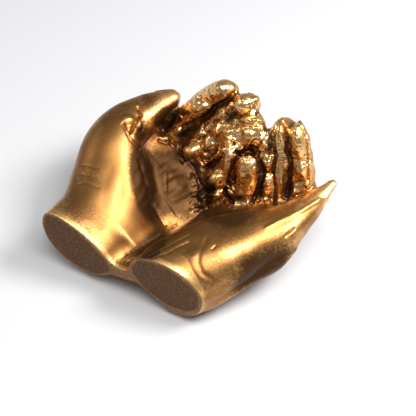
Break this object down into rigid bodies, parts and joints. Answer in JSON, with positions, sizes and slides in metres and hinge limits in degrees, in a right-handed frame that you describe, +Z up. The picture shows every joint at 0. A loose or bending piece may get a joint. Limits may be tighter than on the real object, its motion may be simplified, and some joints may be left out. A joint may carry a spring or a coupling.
{
  "type": "cupped hands sculpture",
  "caption": "Pair of cupped human hands, palms up, cut off above the wrists, in antique gold glazed ceramic; an ornament that also holds small things.",
  "frame": {"origin": "on the ground, under the middle of the sculpture", "axes": "+X towards the right hand, +Y from the wrists to the fingertips, +Z up"},
  "size_m": [0.153, 0.1378, 0.086],
  "materials": {
    "antique_gold": "antique gold, satin, umber in the creases",
    "wrist_face": "matt brown gold"
  },
  "bodies": {
    "root": {"left_palm": "antique_gold", "right_palm": "antique_gold", "left_thumb": "antique_gold", "right_thumb": "antique_gold", "left_index": "antique_gold", "left_middle": "antique_gold", "left_ring": "antique_gold", "left_little": "antique_gold", "right_index": "antique_gold", "right_middle": "antique_gold", "right_ring": "antique_gold", "right_little": "antique_gold", "wrist_web": "antique_gold", "left_wrist_cap": "wrist_face", "right_wrist_cap": "wrist_face"}
  },
  "joints": []
}
